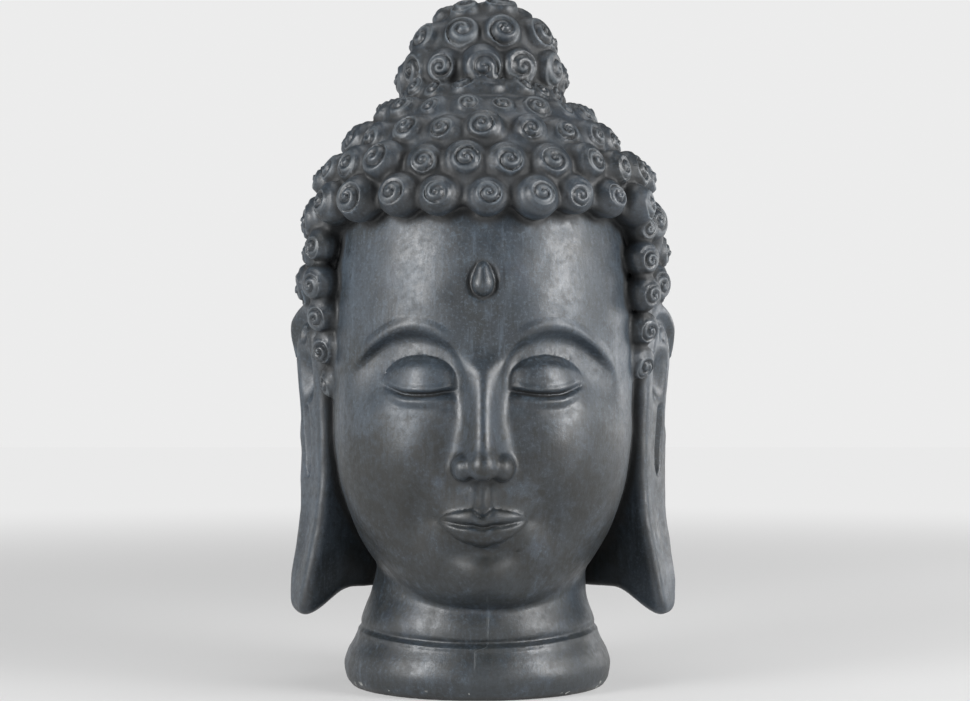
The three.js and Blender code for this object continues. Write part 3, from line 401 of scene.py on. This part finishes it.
def settle(S):
    """fill the corners where two parts of the surface would meet in a point or a line"""
    for _ in range(12):
        count = 0
        for a in range(3):
            o = [(a + 1) % 3, (a + 2) % 3]

            def view(u, v):
                s = [slice(None)] * 3
                s[o[0]] = slice(u, S.shape[o[0]] - 1 + u); s[o[1]] = slice(v, S.shape[o[1]] - 1 + v)
                return S[tuple(s)]
            p00, p10, p01, p11 = view(0, 0), view(1, 0), view(0, 1), view(1, 1)
            n00, n10, n01, n11 = p00 < 0, p10 < 0, p01 < 0, p11 < 0
            bad = np.argwhere((n00 == n11) & (n10 == n01) & (n00 != n10))
            if not len(bad): continue
            count += len(bad)
            for q in bad:
                s = q.copy()
                c = [tuple(q), tuple(q + np.eye(3, dtype=int)[o[0]]), tuple(q + np.eye(3, dtype=int)[o[1]]), tuple(q + np.eye(3, dtype=int)[o[0]] + np.eye(3, dtype=int)[o[1]])]
                pos = [w for w in c if S[w] >= 0]
                if len(pos) == 2: S[min(pos, key=lambda w: S[w])] = -0.02
        if not count: break


def nets(S, ax, h):
    neg = S < 0
    n = S.shape
    some = np.zeros((n[0] - 1, n[1] - 1, n[2] - 1), bool); full = np.ones_like(some)
    for i in (0, 1):
        for j in (0, 1):
            for k in (0, 1):
                q = neg[i:n[0] - 1 + i, j:n[1] - 1 + j, k:n[2] - 1 + k]
                some |= q; full &= q
    act = np.argwhere(some & ~full)
    vid = np.full(some.shape, -1, np.int32); vid[tuple(act.T)] = np.arange(len(act))
    corner = {(i, j, k): S[act[:, 0] + i, act[:, 1] + j, act[:, 2] + k] for i in (0, 1) for j in (0, 1) for k in (0, 1)}
    acc = np.zeros((len(act), 3), F); cnt = np.zeros(len(act), F)
    for a in range(3):
        o = [q for q in range(3) if q != a]
        for u in (0, 1):
            for v in (0, 1):
                c0 = [0, 0, 0]; c0[o[0]] = u; c0[o[1]] = v; c1 = list(c0); c1[a] = 1
                A, Bv = corner[tuple(c0)], corner[tuple(c1)]
                m = (A < 0) != (Bv < 0)
                acc[:, o[0]] += u * m; acc[:, o[1]] += v * m
                acc[:, a] += np.where(m, A / np.where(m, A - Bv, 1), 0); cnt += m
    V = (act + acc / cnt[:, None]) * h + np.array([ax[0][0], ax[1][0], ax[2][0]])
    Q = []
    for a in range(3):
        o = [(a + 1) % 3, (a + 2) % 3]
        s0 = [slice(None)] * 3; s1 = [slice(None)] * 3
        s0[a] = slice(0, n[a] - 1); s1[a] = slice(1, n[a])
        for q in o: s0[q] = slice(1, n[q] - 1); s1[q] = slice(1, n[q] - 1)
        E = np.argwhere(neg[tuple(s0)] != neg[tuple(s1)])
        inn = neg[tuple(s0)][tuple(E.T)]
        for q in o: E[:, q] += 1

        def cell(du, dv):
            c = E.copy(); c[:, o[0]] -= du; c[:, o[1]] -= dv
            return vid[c[:, 0], c[:, 1], c[:, 2]]
        q = np.stack([cell(0, 0), cell(1, 0), cell(1, 1), cell(0, 1)], 1)
        q[~inn] = q[~inn][:, ::-1]
        Q.append(q)
    return V, np.concatenate(Q)


def trilinear(S, h, P):
    g = (P - LO) / h
    g = np.clip(g, 0, np.array(S.shape) - 1.001)
    i = g.astype(np.int32); f = (g - i).astype(F)
    out = 0
    for a in (0, 1):
        for b in (0, 1):
            for c in (0, 1):
                w = (f[:, 0] if a else 1 - f[:, 0]) * (f[:, 1] if b else 1 - f[:, 1]) * (f[:, 2] if c else 1 - f[:, 2])
                out = out + w * S[i[:, 0] + a, i[:, 1] + b, i[:, 2] + c]
    return out


H = 1.05
S, AX, CURLS = sample(H)
print("field %.1fs" % (time.perf_counter() - T0), S.shape, len(CURLS), "curls", flush=True)
settle(S)
V, Q = nets(S, AX, H)
print("mesh %.1fs" % (time.perf_counter() - T0), len(V), "verts", flush=True)


def make_mesh(name, V, Q):
    me = bpy.data.meshes.new(name)
    me.vertices.add(len(V)); me.vertices.foreach_set("co", (V / 1000.).astype(F).ravel())
    me.loops.add(Q.size); me.loops.foreach_set("vertex_index", Q.astype(np.int32).ravel())
    me.polygons.add(len(Q)); me.polygons.foreach_set("loop_start", np.arange(0, Q.size, Q.shape[1], dtype=np.int32))
    me.update(calc_edges=True)
    return me




def largest(V, Q):
    """keep only the outer skin"""
    lab = np.arange(len(V))
    while True:
        m = lab[Q].min(1)
        new = lab.copy()
        for k in range(4): np.minimum.at(new, Q[:, k], m)
        new = new[new]
        if (new == lab).all(): break
        lab = new
    ids, cnt = np.unique(lab, return_counts=True)
    print("shells", len(ids), sorted(cnt)[-4:])
    if len(ids) == 1: return V, Q
    keep = lab == ids[cnt.argmax()]
    idx = np.cumsum(keep) - 1
    return V[keep], idx[Q[keep[Q[:, 0]]]]


V, Q = largest(V, Q)
FACES = 196000
me = make_mesh("head_carving", V, Q)
ob = bpy.data.objects.new("head_carving", me)
bpy.context.scene.collection.objects.link(ob)
mod = ob.modifiers.new("thin", "DECIMATE")
mod.ratio = min(1.0, FACES / (2.0 * len(Q)))
mod.use_collapse_triangulate = True
dg = bpy.context.evaluated_depsgraph_get()
thin = bpy.data.meshes.new_from_object(ob.evaluated_get(dg))
ob.modifiers.clear()
ob.data = thin
bpy.data.meshes.remove(me)
# the thinning can leave a pair of coincident facets: both are taken out
T = np.empty(len(thin.loops), np.int32); thin.loops.foreach_get("vertex_index", T); T = T.reshape(-1, 3).astype(np.int64)
key = np.sort(T, 1)
_, inv, cnt = np.unique(key[:, 0] * 10 ** 12 + key[:, 1] * 10 ** 6 + key[:, 2], return_inverse=True, return_counts=True)
single = (cnt[inv.ravel()] == 1) & (key[:, 0] != key[:, 1]) & (key[:, 1] != key[:, 2])
if not single.all():
    co = np.empty(len(thin.vertices) * 3, F); thin.vertices.foreach_get("co", co); co = co.reshape(-1, 3)
    T = T[single]
    used = np.zeros(len(co), bool); used[T.ravel()] = True
    clean = bpy.data.meshes.new("head_carving")
    clean.from_pydata(co[used].tolist(), [], (np.cumsum(used) - 1)[T].tolist())
    ob.data = clean
    bpy.data.meshes.remove(thin)
    thin = clean
print("coincident facets removed", int((~single).sum()), "mesh needed repair", thin.validate(), flush=True)
thin.name = "head_carving"
me = thin
print("thinned %.1fs" % (time.perf_counter() - T0), len(me.polygons), "faces", flush=True)
me.polygons.foreach_set("use_smooth", np.ones(len(me.polygons), bool))

# ---------------------------------------------------------------- what the paint knows about the form
nv = len(me.vertices)
P = np.empty(nv * 3, F); me.vertices.foreach_get("co", P); P = P.reshape(-1, 3).astype(np.float64) * 1000.
P[:, 2] = np.where(P[:, 2] < 0.25, 0.0, P[:, 2])
me.vertices.foreach_set("co", (P / 1000.).astype(F).ravel())
me.update()
N = np.empty(nv * 3, F); me.vertices.foreach_get("normal", N); N = N.reshape(-1, 3)
occ = np.zeros(nv, F); tot = 0.
for d, w in ((1.5, 1.0), (3., 1.0), (5., .8), (8., .6), (12., .4)):
    occ += w * np.clip(1 - np.clip(trilinear(S, H, P + N * d), -2, d) / d, 0, 1.6); tot += w
occ /= tot
con = np.zeros(nv, F); tot = 0.
for d, w in ((1.5, 1.0), (2.5, 1.0), (4., .7)):
    con += w * np.clip(1 + trilinear(S, H, P - N * d) / d, 0, 1); tot += w
con /= tot
x, y, z = [P[:, k].astype(F) for k in range(3)]
hb = smax(hair_shell(x, y, z), hair_bound(x, y, z), 5.) - bare(x, y, z)
hair = 1 - sstep(-1.5, 1.5, hb)
best = np.full(nv, 1e9, F)
coil = np.zeros((nv, 3), F); coil_r = np.full(nv, 3., F)
for c in CURLS:
    d = (P - c["p"]).astype(F)
    near = np.nonzero((d * d).sum(1) < (22. * c["s"]) ** 2)[0]
    d = d[near]
    a, v, hh = curl_local(c, d[:, 0], d[:, 1], d[:, 2])
    f = np.sqrt((a * a + v * v) / 17.6 ** 2 + ((hh + 2.0) / 15.4) ** 2)
    take = f < best[near]
    k = near[take]
    best[k] = f[take]
    v = v + F(c["low"])
    ct, st = math.cos(c["turn"]), math.sin(c["turn"])
    coil[k, 0] = ((a * ct - v * st) / c["disc"])[take]
    coil[k, 1] = ((a * st + v * ct) / c["disc"])[take]
    coil[k, 2] = c["cut"]
    coil_r[k] = (np.sqrt(a * a + v * v) / c["disc"])[take]
coil_r[best > 1.25] = 3.
hair = np.where(best < 1.12, 1., hair).astype(F)


def attribute(name, kind, data):
    at = me.attributes.new(name, kind, "POINT")
    at.data.foreach_set("vector" if kind == "FLOAT_VECTOR" else "value", np.ascontiguousarray(data, F).ravel())


attribute("cavity", "FLOAT", occ)
attribute("ridge", "FLOAT", con)
attribute("hair", "FLOAT", hair)
attribute("coil", "FLOAT_VECTOR", coil)
attribute("coil_r", "FLOAT", coil_r)
print("paint data %.1fs" % (time.perf_counter() - T0), "cavity", np.percentile(occ, [5, 50, 95]).round(2), "ridge", np.percentile(con, [5, 50, 95]).round(2), flush=True)


# ======================================================================
# Painted cast stone: slate grey, rubbed light on the high edges, black in the hollows (undercoat and painted shade),
# mottled and lightly scratched, with painted shade on the lower face and a painted contact shadow round the foot.
# ======================================================================
def srgb(r, g, b):
    return tuple(((v / 255.) / 12.92 if v <= 10 else (((v / 255.) + 0.055) / 1.055) ** 2.4) for v in (r, g, b)) + (1.,)


mat = bpy.data.materials.new("painted_stone")
mat.use_nodes = True
nt = mat.node_tree
nt.nodes.clear()


def node(kind, **props):
    n = nt.nodes.new(kind)
    for k, v in props.items():
        if k == "inputs":
            for i, w in v.items(): n.inputs[i].default_value = w
        else: setattr(n, k, v)
    return n


def link(a, b): nt.links.new(a, b)


def math_(op, a, b=None, c=None, clamp=False):
    n = node("ShaderNodeMath", operation=op, use_clamp=clamp)
    for i, v in enumerate((a, b, c)):
        if v is None: continue
        if isinstance(v, (int, float)): n.inputs[i].default_value = v
        else: link(v, n.inputs[i])
    return n.outputs[0]


def ramp(x, lo, hi, a=0., b=1., smooth=True):
    n = node("ShaderNodeMapRange", interpolation_type="SMOOTHSTEP" if smooth else "LINEAR")
    link(x, n.inputs["Value"])
    for k, v in (("From Min", lo), ("From Max", hi), ("To Min", a), ("To Max", b)): n.inputs[k].default_value = v
    return n.outputs["Result"]


def mix(f, a, b, blend="MIX"):
    n = node("ShaderNodeMix", data_type="RGBA", blend_type=blend)
    if isinstance(f, (int, float)): n.inputs["Factor"].default_value = f
    else: link(f, n.inputs["Factor"])
    for v, s in ((a, n.inputs[6]), (b, n.inputs[7])):
        if isinstance(v, tuple): s.default_value = v
        else: link(v, s)
    return n.outputs[2]


def attr(name, out="Fac"):
    return node("ShaderNodeAttribute", attribute_name=name).outputs[out]


def noise(scale, detail=4., rough=.55, vec=None, dist=0.):
    n = node("ShaderNodeTexNoise", inputs={"Scale": scale, "Detail": detail, "Roughness": rough, "Distortion": dist})
    link(vec if vec is not None else pos, n.inputs["Vector"])
    return n.outputs["Fac"]


pos = node("ShaderNodeTexCoord").outputs["Object"]


def stretched(sx, sy, sz):
    m = node("ShaderNodeMapping"); m.inputs["Scale"].default_value = (sx, sy, sz)
    link(pos, m.inputs["Vector"])
    return m.outputs["Vector"]


cav, rid, hairy = attr("cavity"), attr("ridge"), attr("hair")
# snail coil, drawn where the knobs carry it
cv = node("ShaderNodeSeparateXYZ"); link(attr("coil", "Vector"), cv.inputs[0])
cr = attr("coil_r")
ang = math_("DIVIDE", math_("ARCTAN2", cv.outputs[1], cv.outputs[0]), 2 * math.pi)
turns = math_("SUBTRACT", math_("MULTIPLY", math_("POWER", math_("MAXIMUM", cr, 0.02), 0.8), TURNS), ang)
ph = math_("FRACT", turns)
crest = math_("POWER", math_("MAXIMUM", math_("SINE", math_("MULTIPLY", ph, math.pi)), 0.0), 0.75)
on_disc = math_("MULTIPLY", ramp(cr, 0.92, 1.06, 1., 0.), ramp(cr, 0.05, 0.16))
groove = math_("MULTIPLY", on_disc, math_("SUBTRACT", 1.0, crest))
lip_ring = math_("MULTIPLY", ramp(cr, 0.86, 0.95), ramp(cr, 0.97, 1.08, 1., 0.))
lip_coil = math_("MULTIPLY", on_disc, ramp(crest, 0.82, 1.0))

sep = node("ShaderNodeSeparateXYZ"); link(pos, sep.inputs[0])
big = noise(9., 3., .5, dist=.6)
mid = noise(34., 5., .6, dist=.3)
fine = noise(170., 4., .7)
speck = noise(420., 3., .7)
grit = noise(950., 2., .5)
streak_v = noise(1., 5., .7, stretched(210., 210., 26.))
streak_d = noise(1., 4., .7, stretched(330., 330., 48.))
streak_h = noise(1., 4., .65, stretched(34., 34., 260.))

col = mix(ramp(big, .34, .64), srgb(30, 36, 41), srgb(48, 57, 66))
col = mix(math_("MULTIPLY", ramp(mid, .45, .68), .50), col, srgb(59, 70, 80))
col = mix(math_("MULTIPLY", ramp(noise(15., 4., .6, dist=.8), .52, .66), .65), col, srgb(24, 29, 29))
col = mix(math_("MULTIPLY", ramp(noise(22., 3., .5, dist=.5), .56, .72), .22), col, srgb(45, 55, 74))
col = mix(math_("MULTIPLY", ramp(streak_v, .50, .70), .50), col, srgb(76, 88, 100))
col = mix(math_("MULTIPLY", ramp(streak_d, .52, .68), math_("MULTIPLY", ramp(big, .60, .40), .75)), col, srgb(15, 19, 21))
col = mix(math_("MULTIPLY", ramp(streak_h, .54, .72), .35), col, srgb(22, 26, 30))
col = mix(math_("MULTIPLY", ramp(fine, .52, .66), .55), col, srgb(18, 23, 25))
col = mix(math_("MULTIPLY", ramp(speck, .50, .68), .45), col, srgb(79, 92, 104))
col = mix(math_("MULTIPLY", ramp(grit, .55, .74), .35), col, srgb(13, 16, 18))
col = mix(math_("MULTIPLY", hairy, .22), col, srgb(10, 12, 13))
# hollows and the coil grooves are darkened towards black from the occlusion measure: partly the black undercoat the
# cast holds there, partly painted shade
undercoat_and_shade = ramp(math_("ADD", math_("ADD", cav, math_("MULTIPLY", hairy, .07)), math_("MULTIPLY", math_("SUBTRACT", mid, .5), .16)), .16, .58)
col = mix(math_("MULTIPLY", undercoat_and_shade, .93), col, srgb(12, 15, 17))
col = mix(math_("MULTIPLY", groove, .72), col, srgb(12, 15, 17))
# high edges are rubbed silvery
worn = math_("MULTIPLY", ramp(math_("SUBTRACT", rid, math_("MULTIPLY", cav, 1.3)), .20, .50), ramp(math_("ADD", mid, math_("MULTIPLY", fine, .4)), .5, .86))
col = mix(math_("MULTIPLY", worn, .50), col, srgb(103, 118, 131))
# painted shade: the lower face, neck and foot are darkened towards the bottom, in mottled olive-black patches
low = math_("MULTIPLY", ramp(sep.outputs[2], .215, .155), ramp(math_("ABSOLUTE", sep.outputs[0]), .125, .108))
col = mix(math_("MULTIPLY", low, ramp(math_("ADD", mid, math_("MULTIPLY", fine, .5)), .60, .84, .06, .66)), col, srgb(17, 20, 18))
# more painted shade in dark blotches over the lower face and chin
blotch = ramp(math_("ADD", noise(30., 5., .62, dist=1.0), math_("MULTIPLY", math_("SUBTRACT", streak_v, .5), .5)), .40, .56)
low = math_("MULTIPLY", math_("MULTIPLY", ramp(sep.outputs[2], .250, .190), ramp(sep.outputs[2], .080, .100)), ramp(math_("ABSOLUTE", sep.outputs[0]), .120, .096))
col = mix(math_("MULTIPLY", low, math_("MULTIPLY", blotch, ramp(math_("ADD", fine, math_("MULTIPLY", math_("SUBTRACT", streak_d, .5), .8)), .36, .60, .40, .92))), col, srgb(12, 15, 13))
lips = math_("MULTIPLY", math_("MAXIMUM", math_("MULTIPLY", lip_ring, .34), math_("MULTIPLY", lip_coil, .28)), ramp(cav, .28, .50, 1., 0.))
col = mix(math_("MULTIPLY", lips, ramp(mid, .36, .60, .10, 1.)), col, srgb(118, 125, 130))

# painted contact shadow: a thin black band round the bottom of the foot; pale chips round the foot
col = mix(math_("MULTIPLY", ramp(math_("ADD", sep.outputs[2], math_("MULTIPLY", fine, .003)), .0052, .0024), .9), col, srgb(8, 9, 9))
chip = math_("MULTIPLY", ramp(sep.outputs[2], .0085, .0045), ramp(noise(130., 3., .6), .63, .67))
col = mix(chip, col, srgb(150, 152, 148))
# the mould's faint seam down the front of the neck and foot
seam = math_("ABSOLUTE", math_("SUBTRACT", math_("ADD", sep.outputs[0], math_("MULTIPLY", mid, .004)), math_("ADD", ramp(sep.outputs[2], .041, .037, .0055, -.0035), 0.)))
seam = math_("MULTIPLY", ramp(seam, .0012, .0001), math_("MULTIPLY", ramp(sep.outputs[1], -.02, -.04), math_("MULTIPLY", ramp(sep.outputs[2], .084, .074), ramp(sep.outputs[2], .022, .028))))
col = mix(math_("MULTIPLY", seam, math_("MULTIPLY", ramp(fine, .40, .60), .27)), col, srgb(96, 104, 108))

rough = math_("ADD", ramp(mid, .3, .7, .39, .50), math_("MULTIPLY", undercoat_and_shade, .22))
rough = math_("ADD", rough, ramp(fine, .35, .65, -.03, .07))

hgt = math_("ADD", math_("MULTIPLY", math_("SUBTRACT", 1.0, groove), .9), math_("MULTIPLY", seam, .25))
b1 = node("ShaderNodeBump", inputs={"Strength": .6, "Distance": .0012}); link(hgt, b1.inputs["Height"])
relief_mix = math_("ADD", math_("MULTIPLY", mid, .55), math_("ADD", math_("MULTIPLY", fine, .40), math_("MULTIPLY", streak_v, .30)))
b2 = node("ShaderNodeBump", inputs={"Strength": .26, "Distance": .0013}); link(relief_mix, b2.inputs["Height"]); link(b1.outputs[0], b2.inputs["Normal"])
b3 = node("ShaderNodeBump", inputs={"Strength": .16, "Distance": .0004}); link(math_("ADD", grit, speck), b3.inputs["Height"]); link(b2.outputs[0], b3.inputs["Normal"])

bsdf = node("ShaderNodeBsdfPrincipled")
link(col, bsdf.inputs["Base Color"]); link(rough, bsdf.inputs["Roughness"]); link(b3.outputs[0], bsdf.inputs["Normal"])
bsdf.inputs["Specular IOR Level"].default_value = 0.8
out = node("ShaderNodeOutputMaterial")
link(bsdf.outputs[0], out.inputs["Surface"])
me.materials.clear()
me.materials.append(mat)

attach(ob, "root")
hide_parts("head")

# ======================================================================
# floor, light and camera
# ======================================================================
scene = bpy.context.scene
scene.view_settings.view_transform = "Standard"
world = bpy.data.worlds.new("room"); scene.world = world; world.use_nodes = True
bg = world.node_tree.nodes["Background"]
wt = world.node_tree
wz = wt.nodes.new("ShaderNodeSeparateXYZ"); wt.links.new(wt.nodes.new("ShaderNodeTexCoord").outputs["Generated"], wz.inputs[0])
wr = wt.nodes.new("ShaderNodeMapRange"); wr.interpolation_type = "SMOOTHSTEP"
for k, v in (("From Min", .19), ("From Max", .30), ("To Min", .84), ("To Max", .08)): wr.inputs[k].default_value = v
wt.links.new(wz.outputs[2], wr.inputs["Value"]); wt.links.new(wr.outputs["Result"], bg.inputs[1])
bg.inputs[0].default_value = (1, 1, 1, 1)

fl = bpy.data.meshes.new("floor")
fl.from_pydata([(-6, -6, 0), (6, -6, 0), (6, 6, 0), (-6, 6, 0)], [], [(0, 1, 2, 3)])
floor = bpy.data.objects.new("floor", fl); scene.collection.objects.link(floor)
floor.location.z = -0.0004
fm = bpy.data.materials.new("floor"); fm.use_nodes = True
fb = fm.node_tree.nodes["Principled BSDF"]
fb.inputs["Emission Color"].default_value = (1, 1, 1, 1); fb.inputs["Roughness"].default_value = .9
# far from the piece the floor runs out into the pale backdrop
ft = fm.node_tree
fr = ft.nodes.new("ShaderNodeVectorMath"); fr.operation = "LENGTH"; ft.links.new(ft.nodes.new("ShaderNodeTexCoord").outputs["Object"], fr.inputs[0])
for name, near, far in (("Emission Strength", .33, .82), ("Base Color", .38, .02), ("Specular IOR Level", .5, 0.)):
    m = ft.nodes.new("ShaderNodeMapRange"); m.interpolation_type = "SMOOTHSTEP"
    for k, v in (("From Min", .6), ("From Max", 2.5), ("To Min", near), ("To Max", far)): m.inputs[k].default_value = v
    ft.links.new(fr.outputs["Value"], m.inputs["Value"]); ft.links.new(m.outputs["Result"], fb.inputs[name])
fl.materials.append(fm)


def lamp(name, at, look, size, energy, sy=None):
    ld = bpy.data.lights.new(name, "AREA"); ld.shape = "RECTANGLE"; ld.size = size; ld.size_y = sy or size; ld.energy = energy
    l = bpy.data.objects.new(name, ld); scene.collection.objects.link(l)
    l.location = at
    l.rotation_euler = (Vector(look) - Vector(at)).to_track_quat("-Z", "Y").to_euler()
    return l


lamp("left_box", (-1.32, -.99, .78), (0, -.03, .30), .60, 26.5, 1.0)
lamp("right_box", (1.46, -.74, .78), (0, -.03, .30), .70, 28.5, 1.0)
lamp("top_box", (0, .1, 1.7), (0, 0, .3), 1.0, 6.)
lamp("side_box", (1.25, .80, .50), (.1, 0, .22), .45, 4.6, .8)

cd = bpy.data.cameras.new("camera"); cam = bpy.data.objects.new("camera", cd); scene.collection.objects.link(cam)
cam.location = (0.0016, -1.6, .240)
aim = Vector((0.0016, 0.0, .2675))
cam.rotation_euler = (aim - cam.location).to_track_quat("-Z", "Y").to_euler()
cd.sensor_width = 36.; cd.lens = 73.5; cd.clip_start = .01
scene.camera = cam

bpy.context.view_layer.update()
print("built %.1fs" % (time.perf_counter() - T0), flush=True)
